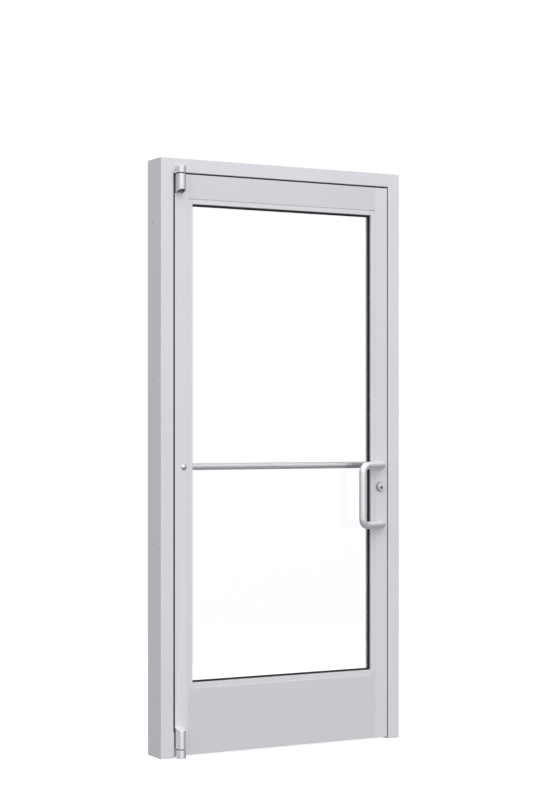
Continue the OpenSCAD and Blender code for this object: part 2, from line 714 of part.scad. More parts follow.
// Glass stop: u is the distance from the bar, v the depth; a face, a lip and a snap-in foot at depth y
module gstop_profile(w, slope, y) {
    t = gstop_wall;
    polygon([[0, gstop_recess], [w, gstop_recess], [w + slope, y], [w + slope - t, y],
        [w - t, gstop_recess + t], [t, gstop_recess + t], [t, y],
        [-snap_depth, y], [-snap_depth, y - t], [0, y - t]]);
}
// The room that an upright stop takes at the end of a level one
module gstop_cope(w, slope, y) {
    k = slope/(y - gstop_recess);
    polygon([[-2*cut, gstop_recess - cut], [w - k*cut + snap_clear, gstop_recess - cut],
        [w + slope + k*cut + snap_clear, y + cut], [-2*cut, y + cut]]);
}
module stop_upright(w, slope, y)
    along_z(rail_b + stop_end_gap, rail_t - stop_end_gap) gstop_profile(w, slope, y);
module stop_upright_l(w, slope, y) translate([stile_l, 0, 0]) stop_upright(w, slope, y);
module stop_upright_r(w, slope, y) translate([stile_r, 0, 0]) mirror([1, 0, 0]) stop_upright(w, slope, y);
module stop_level(w, slope, y) difference() {
    along_x(stile_l, stile_r) children();
    along_z(rail_b - 3*cut, rail_t + 3*cut) {
        translate([stile_l, 0]) gstop_cope(w, slope, y);
        translate([stile_r, 0]) mirror([1, 0]) gstop_cope(w, slope, y);
    }
}
module stop_top(w, side_w, slope, y) stop_level(side_w, slope, y)
    translate([0, rail_t]) mirror([0, 1]) mirror([1, -1]) gstop_profile(w, slope, y);
module stop_bottom(w, side_w, slope, y) stop_level(side_w, slope, y)
    translate([0, rail_b]) mirror([1, -1]) gstop_profile(w, slope, y);
module front_stop_hinge() color("silver") set_in() stop_upright_l(gstop_w, gstop_slope, gstop_y);
module front_stop_lock() color("silver") set_in() stop_upright_r(gstop_w, gstop_slope, gstop_y);
module front_stop_top() color("silver") set_in() stop_top(gstop_level_w, gstop_w, gstop_slope, gstop_y);
module front_stop_bottom() color("silver") set_in() stop_bottom(gstop_level_w, gstop_w, gstop_slope, gstop_y);
module rear_stop_hinge() color("silver") set_in() flip_leaf() stop_upright_l(rear_stop_w, 0, rear_y);
module rear_stop_lock() color("silver") set_in() flip_leaf() stop_upright_r(rear_stop_w, 0, rear_y);
module rear_stop_top() color("silver") set_in() flip_leaf() stop_top(rear_stop_w, rear_stop_w, 0, rear_y);
module rear_stop_bottom() color("silver") set_in() flip_leaf() stop_bottom(rear_stop_w, rear_stop_w, 0, rear_y);

// Pivot halves on the leaf
function top_arm_lo() = top_seat - top_leaf_h - top_slant;
function bottom_arm_hi() = foot_seat + bottom_leaf_h + bottom_slant;
module heel_recess(z0, z1) {
    span([leaf_l - cut, -cut, z0 - face_clear],
        [leaf_l + heel_leaf_t, heel_leaf_d + face_clear, z1 + face_clear]);
}
module heel_screw_places() {
    for (z = [top_arm_lo() + heel_screw_in, top_seat - heel_screw_in,
            foot_seat + heel_screw_in, bottom_arm_hi() - heel_screw_in])
        translate([leaf_l, heel_y, z]) children();
}
module knuckle_prism(z0, z1) {
    rod_z(px, py, z0, z1, kr);
    span([px - kr, py, z0], [px + kr, 0, z1]);
    span([leaf_l, py/2, z0], [leaf_l + heel_leaf_t, heel_leaf_d, z1]);
}
// The side view that slants a knuckle's free end, wide enough to keep the heel leaf whole
module arm_side(z_seat, z_front, z_back) {
    along_x(leaf_l - cut, px + kr + cut)
        polygon([[py - kr - cut, z_seat], [leaf_t, z_seat], [leaf_t, z_back], [0, z_back],
            [py - kr, z_front], [py - kr - cut, z_front]]);
}
// The hollow of the top knuckle, open below
module arm_hollow(z0, z1, r) {
    rod_z(px, py, z0, z1, r);
    span([px - r, py, z0], [px + r, -arm_wall, z1]);
}
module top_pivot_arm() color("lightgray") set_in() difference() {
    intersection() {
        knuckle_prism(top_arm_lo(), top_seat);
        arm_side(top_seat, top_seat - top_leaf_h, top_arm_lo());
    }
    arm_hollow(top_arm_lo() - cut, top_seat - top_pin_down - arm_web, kr - arm_wall);
    rod_z(px, py, top_seat - top_pin_down, top_seat + cut, top_pin_d/2 + run_clear + bush_wall + run_clear);
    heel_screw_places() sunk_hole(0, 0, 0, leaf_screw_d, leaf_head_d, heel_leaf_t + cut);
}
module bottom_pivot_arm() color("lightgray") set_in() difference() {
    intersection() {
        knuckle_prism(foot_seat, bottom_arm_hi());
        arm_side(foot_seat, foot_seat + bottom_leaf_h, bottom_arm_hi());
    }
    rod_z(px, py, foot_seat - cut, foot_top + foot_pin_up + 2*cut,
        foot_pin_d/2 + run_clear + bush_wall + run_clear);
    heel_screw_places() sunk_hole(0, 0, 0, leaf_screw_d, leaf_head_d, heel_leaf_t + cut);
}
module bushing(z0, z1, flange_z, pin) {
    difference() {
        union() {
            rod_z(px, py, z0, z1, pin/2 + run_clear + bush_wall);
            rod_z(px, py, flange_z, flange_z + bush_flange, kr*0.8);
        }
        rod_z(px, py, z0 - bush_flange - cut, z1 + bush_flange + cut, pin/2 + run_clear);
    }
}
module pivot_bushings() color("dimgray") set_in() {
    bushing(top_seat - top_pin_down + cut, top_seat + bush_flange, top_seat, top_pin_d);
    bushing(foot_seat - bush_flange, foot_top + foot_pin_up, foot_seat - bush_flange, foot_pin_d);
}
module pivot_backers() color("darkgray") set_in() difference() {
    for (z = [[top_arm_lo(), top_seat], [foot_seat, bottom_arm_hi()]])
        span([leaf_l + leaf_wall, heel_y - backer_w/2, z[0]],
            [leaf_l + leaf_wall + backer_t, heel_y + backer_w/2, z[1]]);
    heel_screw_places() sunk_hole(0, 0, 0, leaf_screw_d, leaf_head_d, heel_leaf_t + screw_len + cut);
}
module door_pivot_screws() color("gray") set_in()
    heel_screw_places() sunk_screw(0, 0, 0, leaf_screw_d, leaf_head_d, screw_len);

// Half a pull above its middle: half the grip, a corner, a leaning leg and its root bend
module pull_half() {
    r = pull_d/2;
    h = pull_cc/2;
    translate([grip_x, -pull_reach, 0]) rotate([0, 0, pull_a]) {
        cylinder(h = h - grip_r, r = r);
        translate([grip_r, 0, h - grip_r]) rotate([90, 0, 180]) rotate_extrude(angle = 90)
            translate([grip_r, 0]) circle(r = r);
        translate([grip_r, 0, h]) rotate([0, 90, 0]) cylinder(h = pull_run - grip_r, r = r);
        translate([pull_run, root_r, h]) rotate([0, 0, -90]) rotate_extrude(angle = 95 - pull_a)
            translate([root_r, 0]) circle(r = r);
    }
}
module pull_handle() color("whitesmoke") set_in() difference() {
    translate([0, 0, pull_z - pull_cc/2]) union() {
        pull_half();
        mirror([0, 0, 1]) pull_half();
    }
    span([pull_x - 2*pull_d, 0, pull_z - pull_cc - pull_d], [pull_x + 2*pull_d, pull_d, pull_z + pull_d]);
    for (z = [pull_z, pull_z - pull_cc]) rod_y(pull_x, z, -stud_depth, cut, stud_d/2 + stud_clear);
}
module bar_end() {
    r = bar_d/2;
    rod_y(pull_x, bar_z, leaf_t, leaf_t + bar_reach - bar_r, r);
    translate([pull_x - bar_r, leaf_t + bar_reach - bar_r, bar_z]) rotate_extrude(angle = 90)
        translate([bar_r, 0]) circle(r = r);
}
module push_bar() color("whitesmoke") set_in() difference() {
    union() {
        bar_end();
        translate([bar_x + pull_x, 0, 0]) mirror([1, 0, 0]) bar_end();
        rod_x(leaf_t + bar_reach, bar_z, bar_x + bar_r, pull_x - bar_r, bar_d/2);
    }
    for (x = [bar_x, pull_x]) rod_y(x, bar_z, leaf_t - cut, leaf_t + stud_depth, stud_d/2 + stud_clear);
}
module through_studs() color("gray") set_in() {
    if (bar_z == pull_z) rod_y(pull_x, pull_z, -stud_depth, leaf_t + stud_depth, stud_d/2);
    else {
        rod_y(pull_x, pull_z, -stud_depth, mid_y, stud_d/2);
        rod_y(pull_x, bar_z, mid_y, leaf_t + stud_depth, stud_d/2);
    }
    rod_y(pull_x, pull_z - pull_cc, -stud_depth, leaf_t + cap_h/2, stud_d/2);
    rod_y(bar_x, bar_z, -cap_h/2, leaf_t + stud_depth, stud_d/2);
}
module stud_cap() {
    ball = (cap_d*cap_d/4 + cap_h*cap_h)/(2*cap_h);
    difference() {
        intersection() {
            translate([0, ball - cap_h, 0]) sphere(r = ball);
            rod_y(0, 0, -cap_h - cut, 0, cap_d/2 + cut);
        }
        rod_y(0, 0, -cap_h/2, cut, stud_d/2 + stud_clear);
    }
}
module stud_caps() color("whitesmoke") set_in() {
    translate([bar_x, 0, bar_z]) stud_cap();
    flip_leaf() translate([pull_x, 0, pull_z - pull_cc]) stud_cap();
}

// Lock
module face_screw_places() {
    for (z = [cyl_z - face_down + face_screw_in, cyl_z + face_up - face_screw_in])
        translate([leaf_r, mid_y, z]) mirror([1, 0, 0]) children();
}
module lock_case() color("darkgray") set_in() difference() {
    z0 = cyl_z - case_down;
    z1 = cyl_z + case_up;
    span([edge_in - case_w, mid_y - case_t/2, z0], [edge_in, mid_y + case_t/2, z1]);
    span([edge_in - case_w + case_wall, mid_y - case_t/2 + case_wall, z0 + case_wall],
        [edge_in + cut, mid_y + case_t/2 - case_wall, z1 - case_wall]);
    rod_y(hx_r, cyl_z, 0, leaf_t, cyl_d/2 + cyl_clear);
    rod_y(bolt_x, bolt_z, 0, leaf_t, bolt_pin_d/2 + run_clear);
}
module lock_tabs() color("gray") set_in() difference() {
    for (z = [cyl_z - face_down + 2*face_screw_in - tab_h, cyl_z + face_up - 2*face_screw_in])
        span([edge_in - tab_t, mid_y - face_w/2 + 1, z], [edge_in, mid_y + face_w/2 - 1, z + tab_h]);
    face_screw_places() sunk_hole(0, 0, 0, leaf_screw_d, leaf_head_d, leaf_wall + tab_t + cut);
}
module lock_faceplate() color("lightgray") set_in() difference() {
    span([edge_in, mid_y - face_w/2, cyl_z - face_down], [leaf_r, mid_y + face_w/2, cyl_z + face_up]);
    span([edge_in - cut, mid_y - bolt_slot_w/2, face_slot_lo],
        [leaf_r + cut, mid_y + bolt_slot_w/2, face_slot_hi]);
    face_screw_places() sunk_hole(0, 0, 0, leaf_screw_d, leaf_head_d, leaf_wall + cut);
}
module faceplate_screws() color("gray") set_in()
    face_screw_places() sunk_screw(0, 0, 0, leaf_screw_d, leaf_head_d, leaf_wall + tab_t);
module bolt_pivot() color("gray") set_in()
    rod_y(bolt_x, bolt_z, mid_y - case_t/2, mid_y + case_t/2, bolt_pin_d/2);
module cylinder_body() difference() {
    union() {
        rod_y(hx_r, cyl_z, -collar_h, cyl_depth, cyl_d/2);
        rod_y(hx_r, cyl_z, -collar_h - cyl_head_t, -collar_h, cyl_head_d/2);
    }
    rod_y(hx_r, plug_z, -collar_h - cyl_head_t - cut, cyl_depth + cut, plug_d/2 + run_clear);
}
module collar_ring() difference() {
    translate([hx_r, 0, cyl_z]) rotate([90, 0, 0]) cylinder(h = collar_h, d1 = collar_d, d2 = collar_top_d);
    rod_y(hx_r, cyl_z, -collar_h - cut, cut, cyl_d/2 + cyl_clear);
}
module cam_disc() along_y(cyl_depth + screw_clear, cyl_depth + screw_clear + cam_t)
    translate([hx_r, plug_z]) union() {
    circle(d = plug_d + 4);
    translate([-plug_d/4, 0]) square([plug_d/2, cam_reach]);
}
module outer_cylinder() color("whitesmoke") set_in() cylinder_body();
module outer_collar() color("whitesmoke") set_in() collar_ring();
module inner_cylinder() color("whitesmoke") set_in() flip_leaf() cylinder_body();
module inner_collar() color("whitesmoke") set_in() flip_leaf() collar_ring();
module key_plug() color("gold") set_in() difference() {
    union() {
        rod_y(hx_r, plug_z, -collar_h - cyl_head_t, cyl_depth + screw_clear + cam_t, plug_d/2);
        cam_disc();
    }
    span([hx_r - key_w/2, -collar_h - cyl_head_t - cut, plug_z - key_h/2],
        [hx_r + key_w/2, -collar_h - cyl_head_t + key_depth, plug_z + key_h/2]);
}
module thumb_turn() color("whitesmoke") set_in() flip_leaf() {
    t0 = collar_h + cyl_head_t + screw_clear;
    rod_y(hx_r, plug_z, -t0, cyl_depth + screw_clear + cam_t, plug_d/2);
    cam_disc();
    along_y(-t0 - thumb_reach, -t0) translate([hx_r, plug_z]) union() {
        for (s = [-1, 1]) translate([0, s*(thumb_h - thumb_w)/2]) circle(d = thumb_w);
        square([thumb_w, thumb_h - thumb_w], center = true);
        circle(d = plug_d);
    }
}
module swing_bolt() color("gainsboro") set_in()
    along_y(mid_y - bolt_t/2, mid_y + bolt_t/2) translate([bolt_x, bolt_z])
    difference() {
        union() {
            circle(d = bolt_w);
            intersection() {
                translate([-bolt_w/2, 0]) square([bolt_w, bolt_l]);
                circle(r = bolt_l);
            }
        }
        circle(d = bolt_pin_d + 2*run_clear);
    }

hinge_jamb();
strike_jamb();
frame_head();
head_joint_screws();
hinge_door_stop();
strike_door_stop();
head_door_stop();
hinge_seal();
strike_seal();
head_seal();
top_pivot_plate();
top_pivot_pin();
bottom_pivot_foot();
bottom_pivot_pin();
thrust_washer();
frame_pivot_screws();
strike_plate();
strike_screws();
hinge_stile();
lock_stile();
top_rail();
bottom_rail();
corner_clips();
corner_bolts();
glass_pane();
setting_blocks();
front_gasket();
rear_gasket();
front_stop_hinge();
front_stop_lock();
front_stop_top();
front_stop_bottom();
rear_stop_hinge();
rear_stop_lock();
rear_stop_top();
rear_stop_bottom();
top_pivot_arm();
bottom_pivot_arm();
pivot_bushings();
pivot_backers();
door_pivot_screws();
pull_handle();
push_bar();
through_studs();
stud_caps();
lock_case();
lock_tabs();
lock_faceplate();
faceplate_screws();
bolt_pivot();
outer_cylinder();
outer_collar();
inner_cylinder();
inner_collar();
swing_bolt();
key_plug();
thumb_turn();
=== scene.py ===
import json
import math

import bmesh
import bpy
from mathutils import Matrix, Vector


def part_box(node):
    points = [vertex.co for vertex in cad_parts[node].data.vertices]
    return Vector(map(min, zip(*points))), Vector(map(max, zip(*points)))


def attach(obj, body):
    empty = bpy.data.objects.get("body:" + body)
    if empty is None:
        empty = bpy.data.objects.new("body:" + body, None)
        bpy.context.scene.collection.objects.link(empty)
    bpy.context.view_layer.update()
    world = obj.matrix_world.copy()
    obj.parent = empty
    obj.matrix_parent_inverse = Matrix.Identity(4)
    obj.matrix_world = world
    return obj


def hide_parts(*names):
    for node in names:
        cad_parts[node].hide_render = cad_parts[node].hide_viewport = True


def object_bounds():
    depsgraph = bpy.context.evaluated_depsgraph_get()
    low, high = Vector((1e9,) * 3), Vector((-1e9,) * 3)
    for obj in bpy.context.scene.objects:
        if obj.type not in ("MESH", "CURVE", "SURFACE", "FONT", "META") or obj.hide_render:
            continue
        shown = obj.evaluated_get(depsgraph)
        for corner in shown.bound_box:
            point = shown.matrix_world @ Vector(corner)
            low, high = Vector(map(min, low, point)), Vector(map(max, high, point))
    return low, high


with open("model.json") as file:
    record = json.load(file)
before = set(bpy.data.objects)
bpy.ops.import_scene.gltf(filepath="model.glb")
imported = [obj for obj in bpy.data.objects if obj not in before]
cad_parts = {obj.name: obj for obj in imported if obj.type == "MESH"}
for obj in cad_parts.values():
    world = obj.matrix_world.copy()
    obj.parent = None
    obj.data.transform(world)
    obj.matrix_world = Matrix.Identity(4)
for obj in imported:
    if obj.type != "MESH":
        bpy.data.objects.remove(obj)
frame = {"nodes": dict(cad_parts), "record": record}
cadLow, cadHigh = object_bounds()
nodes = frame["nodes"]
bodyOf = {name: body for body, names in frame["record"]["behaviour"]["bodies"].items() for name in names}
slotOf = {part["node"]: part["material_slot"] for part in frame["record"]["subparts"]}


# Camera and light

shot = {
    "place": (-3.4257, -6.1929, 1.204),
    "turn": 28.51,  # degrees to the right of straight on
    "lens": 84.78,
    "sensor": 36,
    "rise": 0.0334,
}
camera = bpy.data.objects.new("camera", bpy.data.cameras.new("camera"))
camera.location = shot["place"]
camera.rotation_euler = (math.radians(90), 0, math.radians(-shot["turn"]))
camera.data.lens = shot["lens"]
camera.data.sensor_width = shot["sensor"]
camera.data.shift_y = shot["rise"]
bpy.context.scene.collection.objects.link(camera)
bpy.context.scene.camera = camera
bpy.context.scene.view_settings.view_transform = "Standard"

key = {  # one broad soft bank of light, above and left of straight on
    "azimuth": 24, "height": 58,  # degrees
    "edges": (0.0, 0.9), "level": 0.85,  # cosines where the bank starts and is full
    "lamp": 1.0, "spread": 50, "away": 6, "tint": (1, 0.995, 0.985),
}
turned = (Matrix.Rotation(math.radians(-key["azimuth"]), 3, "Z")
          @ Matrix.Rotation(math.radians(90 - key["height"]), 3, "X"))
lamp = bpy.data.objects.new("keyLamp", bpy.data.lights.new("keyLamp", "SUN"))
lamp.data.energy = key["lamp"]
lamp.data.angle = math.radians(key["spread"])
lamp.data.color = key["tint"]
lamp.rotation_euler = turned.to_euler()
lamp.location = turned @ Vector((0, 0, key["away"]))
bpy.context.scene.collection.objects.link(lamp)

studio = {  # brightness of the tent by direction: from, to, level before, level after
    "left": (-1.0, -0.7, 0.8, 1.0),
    "right": (0.58, 1.0, 1.0, 0.5),
    "rise": (-0.7, 0.5, 0.58, 1.20),
    "rear": (0.0, 0.8, 1.0, 0.6),
    "strength": 0.62,
    "backdrop": 1.05,  # plain white, seen directly and through the glass
    "tint": (0.98, 0.98, 1.0),
}
world = bpy.data.worlds.new("tent")
bpy.context.scene.world = world
world.use_nodes = True
tree = world.node_tree
background = tree.nodes["Background"]
direction = tree.nodes.new("ShaderNodeTexCoord")
parts = tree.nodes.new("ShaderNodeSeparateXYZ")
tree.links.new(direction.outputs["Generated"], parts.inputs[0])


def worldMath(operation, first, second):
    node = tree.nodes.new("ShaderNodeMath")
    node.operation = operation
    for socket, value in zip(node.inputs, (first, second)):
        if isinstance(value, float):
            socket.default_value = value
        else:
            tree.links.new(value, socket)
    return node.outputs[0]


level = studio["strength"]
for side, axis in (("left", "X"), ("right", "X"), ("rise", "Z"), ("rear", "Y")):
    ramp = tree.nodes.new("ShaderNodeMapRange")
    ramp.interpolation_type = "SMOOTHSTEP"
    for socket, value in zip(("From Min", "From Max", "To Min", "To Max"), studio[side]):
        ramp.inputs[socket].default_value = value
    tree.links.new(parts.outputs[axis], ramp.inputs["Value"])
    level = worldMath("MULTIPLY", ramp.outputs["Result"], level)
towards = tree.nodes.new("ShaderNodeVectorMath")
towards.operation = "DOT_PRODUCT"
towards.inputs[1].default_value = turned @ Vector((0, 0, 1))
bank = tree.nodes.new("ShaderNodeMapRange")
bank.interpolation_type = "SMOOTHSTEP"
bank.inputs["From Min"].default_value, bank.inputs["From Max"].default_value = key["edges"]
bank.inputs["To Max"].default_value = key["level"]
tree.links.new(direction.outputs["Generated"], towards.inputs[0])
tree.links.new(towards.outputs["Value"], bank.inputs["Value"])
level = worldMath("ADD", level, bank.outputs["Result"])
seen = tree.nodes.new("ShaderNodeLightPath")
bounced = worldMath("ADD", seen.outputs["Diffuse Depth"], seen.outputs["Glossy Depth"])
direct = worldMath("MAXIMUM", seen.outputs["Is Camera Ray"], seen.outputs["Is Transmission Ray"])
direct = worldMath("MULTIPLY", direct, worldMath("LESS_THAN", bounced, 0.5))  # not yet bounced
pick = tree.nodes.new("ShaderNodeMix")
pick.inputs["B"].default_value = studio["backdrop"]
tree.links.new(direct, pick.inputs["Factor"])
tree.links.new(level, pick.inputs["A"])
tree.links.new(pick.outputs[0], background.inputs["Strength"])
background.inputs["Color"].default_value = (*studio["tint"], 1)
print("camera and light set")


# Materials

def newGroup(name, inputs, outputs):
    group = bpy.data.node_groups.new(name, "ShaderNodeTree")
    for label, kind, value in inputs:
        socket = group.interface.new_socket(label, in_out="INPUT", socket_type=kind)
        if value is not None:
            socket.default_value = value
    for label, kind in outputs:
        group.interface.new_socket(label, in_out="OUTPUT", socket_type=kind)
    return group, group.nodes.new("NodeGroupInput"), group.nodes.new("NodeGroupOutput")


satin = {
    "grain": 0.45, "cloud": 0.4, "lift": 0.075,  # shares of drawn grain and slow clouds in the tone
    "speck": 0.35, "specks": 900.0,  # share and scale of fine specks in the relief
    "tone": (0.32, 0.68), "gloss": (0.3, 0.7), "ior": 1.6, "depth": 0.0002,
}


def satinGroup():
    group, source, result = newGroup("satinSurface", [
        ("Coords", "NodeSocketVector", None),
        ("Drawn", "NodeSocketVector", None),  # coordinates stretched along the grain
        ("Light", "NodeSocketColor", (0.8, 0.8, 0.8, 1)),
        ("Dark", "NodeSocketColor", (0.7, 0.7, 0.7, 1)),
        ("Smooth", "NodeSocketFloat", 0.3),
        ("Rough", "NodeSocketFloat", 0.4),
        ("Cloud", "NodeSocketFloat", 3.0),
    ], [("Color", "NodeSocketColor"), ("Roughness", "NodeSocketFloat"), ("Height", "NodeSocketFloat")])
    add, link = group.nodes.new, group.links.new
    grain = add("ShaderNodeTexNoise")
    grain.inputs["Scale"].default_value = 1.0
    grain.inputs["Detail"].default_value = 4.0
    grain.inputs["Roughness"].default_value = 0.62
    cloud = add("ShaderNodeTexNoise")
    cloud.inputs["Detail"].default_value = 2.5
    speck = add("ShaderNodeTexNoise")
    speck.inputs["Scale"].default_value = satin["specks"]
    speck.inputs["Detail"].default_value = 1.0
    share = add("ShaderNodeMath")
    share.operation = "MULTIPLY_ADD"
    share.inputs[1].default_value = satin["grain"]
    spread = add("ShaderNodeMath")
    spread.operation = "MULTIPLY_ADD"
    spread.inputs[1].default_value, spread.inputs[2].default_value = satin["cloud"], satin["lift"]
    tone = add("ShaderNodeMapRange")
    tone.inputs["From Min"].default_value, tone.inputs["From Max"].default_value = satin["tone"]
    shade = add("ShaderNodeMix")
    shade.data_type = "RGBA"
    gloss = add("ShaderNodeMapRange")
    gloss.inputs["From Min"].default_value, gloss.inputs["From Max"].default_value = satin["gloss"]
    height = add("ShaderNodeMath")
    height.operation = "MULTIPLY_ADD"
    height.inputs[1].default_value = satin["speck"]
    link(source.outputs["Drawn"], grain.inputs["Vector"])
    link(source.outputs["Coords"], cloud.inputs["Vector"])
    link(source.outputs["Coords"], speck.inputs["Vector"])
    link(source.outputs["Cloud"], cloud.inputs["Scale"])
    link(grain.outputs["Fac"], share.inputs[0])
    link(cloud.outputs["Fac"], spread.inputs[0])
    link(spread.outputs[0], share.inputs[2])
    link(share.outputs[0], tone.inputs["Value"])
    link(tone.outputs["Result"], shade.inputs["Factor"])
    link(source.outputs["Dark"], shade.inputs["A"])
    link(source.outputs["Light"], shade.inputs["B"])
    link(share.outputs[0], gloss.inputs["Value"])
    link(source.outputs["Rough"], gloss.inputs["To Min"])
    link(source.outputs["Smooth"], gloss.inputs["To Max"])
    link(speck.outputs["Fac"], height.inputs[0])
    link(grain.outputs["Fac"], height.inputs[2])
    link(shade.outputs["Result"], result.inputs["Color"])
    link(gloss.outputs["Result"], result.inputs["Roughness"])
    link(height.outputs[0], result.inputs["Height"])
    return group


satinSurface = satinGroup()


def satinMetal(name, settings):
    material = bpy.data.materials.new(name)
    material.use_nodes = True
    add, link = material.node_tree.nodes.new, material.node_tree.links.new
    shader = material.node_tree.nodes["Principled BSDF"]
    shader.inputs["Metallic"].default_value = settings["metal"]
    shader.inputs["IOR"].default_value = satin["ior"]
    coords = add("ShaderNodeTexCoord")
    drawn = add("ShaderNodeMapping")
    drawn.inputs["Scale"].default_value = settings["grain"]
    surface = add("ShaderNodeGroup")
    surface.node_tree = satinSurface
    surface.inputs["Light"].default_value = (*settings["light"], 1)
    surface.inputs["Dark"].default_value = (*settings["dark"], 1)
    surface.inputs["Smooth"].default_value, surface.inputs["Rough"].default_value = settings["rough"]
    surface.inputs["Cloud"].default_value = settings["cloud"]
    bump = add("ShaderNodeBump")
    bump.inputs["Strength"].default_value = settings["relief"]
    bump.inputs["Distance"].default_value = satin["depth"]
    link(coords.outputs["Object"], drawn.inputs["Vector"])
    link(coords.outputs["Object"], surface.inputs["Coords"])
    link(drawn.outputs["Vector"], surface.inputs["Drawn"])
    link(surface.outputs["Color"], shader.inputs["Base Color"])
    link(surface.outputs["Roughness"], shader.inputs["Roughness"])
    link(surface.outputs["Height"], bump.inputs["Height"])
    link(bump.outputs["Normal"], shader.inputs["Normal"])
    return material


metals = {
    "anodisedUpright": {"metal": 0.35, "light": (0.672, 0.672, 0.70), "dark": (0.632, 0.632, 0.662),
                        "rough": (0.42, 0.52), "grain": (260, 260, 1.6), "cloud": 2.2, "relief": 0.05},
    "anodisedLevel": {"metal": 0.35, "light": (0.672, 0.672, 0.70), "dark": (0.632, 0.632, 0.662),
                      "rough": (0.42, 0.52), "grain": (1.6, 260, 260), "cloud": 2.2, "relief": 0.05},
    # a darker copy of the anodised finish for the rails: painted shade, for the lesser light the level rails
    # take
    "anodisedRailShaded": {"metal": 0.35, "light": (0.62, 0.62, 0.648), "dark": (0.585, 0.585, 0.613),
                     "rough": (0.42, 0.52), "grain": (1.6, 260, 260), "cloud": 2.2, "relief": 0.05},
    "satinCasting": {"metal": 1.0, "light": (0.73, 0.727, 0.745), "dark": (0.65, 0.647, 0.665),
                     "rough": (0.36, 0.44), "grain": (900, 900, 30), "cloud": 24, "relief": 0.10},
    # a much lighter copy of satinCasting for the bottom pivot: painted light, lifting the lower pivot that
    # the bank of light reaches less
    "castingPaintedLight": {"metal": 1.0, "light": (0.94, 0.937, 0.955), "dark": (0.87, 0.867, 0.885),
                    "rough": (0.25, 0.33), "grain": (420, 420, 420), "cloud": 18, "relief": 0.05},
    # dark as-cast finish for the top knuckle's underside, also standing in as painted shade under and inside
    # the knuckle
    "rawCastingAndShade": {"metal": 0.3, "light": (0.34, 0.34, 0.345), "dark": (0.22, 0.22, 0.224),
                   "rough": (0.6, 0.75), "grain": (800, 800, 800), "cloud": 60, "relief": 0.3},
    "satinRod": {"metal": 0.85, "light": (0.77, 0.768, 0.79), "dark": (0.71, 0.708, 0.73),
                 "rough": (0.36, 0.44), "grain": (420, 420, 420), "cloud": 18, "relief": 0.05},
    "pullRod": {"metal": 0.7, "light": (0.79, 0.788, 0.81), "dark": (0.73, 0.728, 0.75),
                "rough": (0.30, 0.38), "grain": (420, 420, 420), "cloud": 18, "relief": 0.05},
    # a darker copy of the satin rod finish for the domed caps: painted shade for the dome's shaded lower side
    "domedCapShaded": {"metal": 1.0, "light": (0.56, 0.558, 0.575), "dark": (0.48, 0.478, 0.495),
                 "rough": (0.25, 0.33), "grain": (420, 420, 420), "cloud": 18, "relief": 0.05},
    # dark steel on the lock collars: painted shade for the collar's shaded side round the cylinder
    "collarSteelShaded": {"metal": 1.0, "light": (0.46, 0.458, 0.465), "dark": (0.34, 0.338, 0.345),
                    "rough": (0.22, 0.30), "grain": (500, 40, 500), "cloud": 30, "relief": 0.05},
    "turnedCylinder": {"metal": 1.0, "light": (0.80, 0.798, 0.81), "dark": (0.72, 0.718, 0.73),
                       "rough": (0.26, 0.34), "grain": (500, 40, 500), "cloud": 30, "relief": 0.05},
    # a dark metal for the key plug, darker than the cylinder face round it
    "darkPlugMetal": {"metal": 1.0, "light": (0.30, 0.295, 0.29), "dark": (0.20, 0.195, 0.19),
                   "rough": (0.26, 0.38), "grain": (600, 90, 600), "cloud": 50, "relief": 0.06},
    "platedSteel": {"metal": 1.0, "light": (0.62, 0.62, 0.63), "dark": (0.46, 0.46, 0.47),
                    "rough": (0.22, 0.36), "grain": (500, 500, 60), "cloud": 30, "relief": 0.08},
    "darkAcetal": {"metal": 0.0, "light": (0.055, 0.055, 0.057), "dark": (0.032, 0.032, 0.034),
                   "rough": (0.34, 0.5), "grain": (700, 700, 90), "cloud": 40, "relief": 0.06},
    "millAluminium": {"metal": 1.0, "light": (0.66, 0.66, 0.67), "dark": (0.54, 0.54, 0.55),
                      "rough": (0.34, 0.5), "grain": (5, 300, 300), "cloud": 12, "relief": 0.1},
}
finishes = {name: satinMetal(name, settings) for name, settings in metals.items()}

rubber = {
    "light": (0.018, 0.018, 0.019), "dark": (0.007, 0.007, 0.008), "rough": (0.5, 0.72), "specular": 0.3,
    "pores": 340, "detail": 3, "relief": 0.12, "depth": 0.0002,
}


def rubberFinish():
    material = bpy.data.materials.new("blackRubber")
    material.use_nodes = True
    add, link = material.node_tree.nodes.new, material.node_tree.links.new
    shader = material.node_tree.nodes["Principled BSDF"]
    shader.inputs["Specular IOR Level"].default_value = rubber["specular"]
    coords = add("ShaderNodeTexCoord")
    pores = add("ShaderNodeTexNoise")
    pores.inputs["Scale"].default_value = rubber["pores"]
    pores.inputs["Detail"].default_value = rubber["detail"]
    shade = add("ShaderNodeMix")
    shade.data_type = "RGBA"
    shade.inputs["A"].default_value = (*rubber["dark"], 1)
    shade.inputs["B"].default_value = (*rubber["light"], 1)
    gloss = add("ShaderNodeMapRange")
    gloss.inputs["To Min"].default_value, gloss.inputs["To Max"].default_value = rubber["rough"]
    bump = add("ShaderNodeBump")
    bump.inputs["Strength"].default_value = rubber["relief"]
    bump.inputs["Distance"].default_value = rubber["depth"]
    link(coords.outputs["Object"], pores.inputs["Vector"])
    link(pores.outputs["Fac"], shade.inputs["Factor"])
    link(pores.outputs["Fac"], gloss.inputs["Value"])
    link(pores.outputs["Fac"], bump.inputs["Height"])
    link(shade.outputs["Result"], shader.inputs["Base Color"])
    link(gloss.outputs["Result"], shader.inputs["Roughness"])
    link(bump.outputs["Normal"], shader.inputs["Normal"])
    return material


finishes["blackRubber"] = rubberFinish()

glazing = {
    "tint": (0.99, 0.992, 0.993), "ior": 1.5,
    "smears": 5.0, "detail": 4, "swirl": 0.6, "starts": (0.5, 0.8), "haze": (0.0, 0.02),
}


